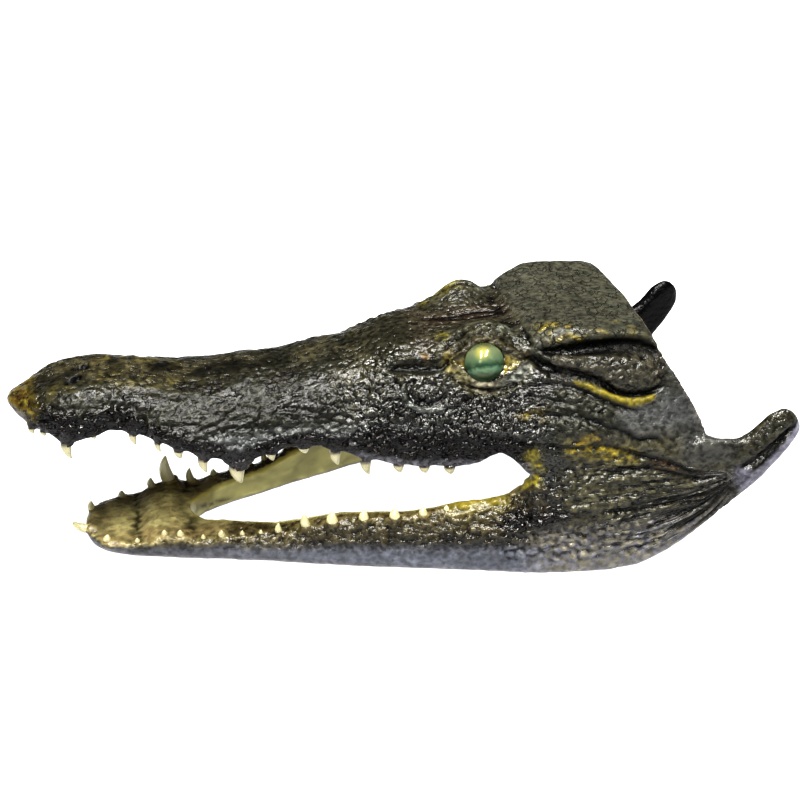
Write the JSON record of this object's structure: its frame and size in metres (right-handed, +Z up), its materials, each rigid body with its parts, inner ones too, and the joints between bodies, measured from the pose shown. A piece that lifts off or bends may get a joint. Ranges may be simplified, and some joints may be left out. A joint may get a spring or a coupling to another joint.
{
  "type": "preserved crocodile head",
  "caption": "Dried, lacquered crocodile head with glass eyes and an open, toothed mouth, lying on its lower jaw.",
  "frame": {"origin": "centre of the footprint, on the floor under the lower jaw", "axes": "-X towards the tip of the snout, -Y towards the animal's left side, +Z up"},
  "size_m": [0.365, 0.163, 0.1151],
  "materials": {
    "hide": "clear lacquer over dark olive and black scaly hide",
    "bone": "stained bone",
    "glass_eye": "polished green glass, backed so that it looks solid",
    "ivory": "cream tooth enamel under lacquer"
  },
  "bodies": {
    "root": {"snout": "hide", "cranium": "hide", "occiput": "bone", "eye_left": "glass_eye", "eye_right": "glass_eye", "ear_flap_left": "hide", "ear_flap_right": "hide", "lower_jaw_left": "hide", "lower_jaw_right": "hide"}
  },
  "joints": []
}
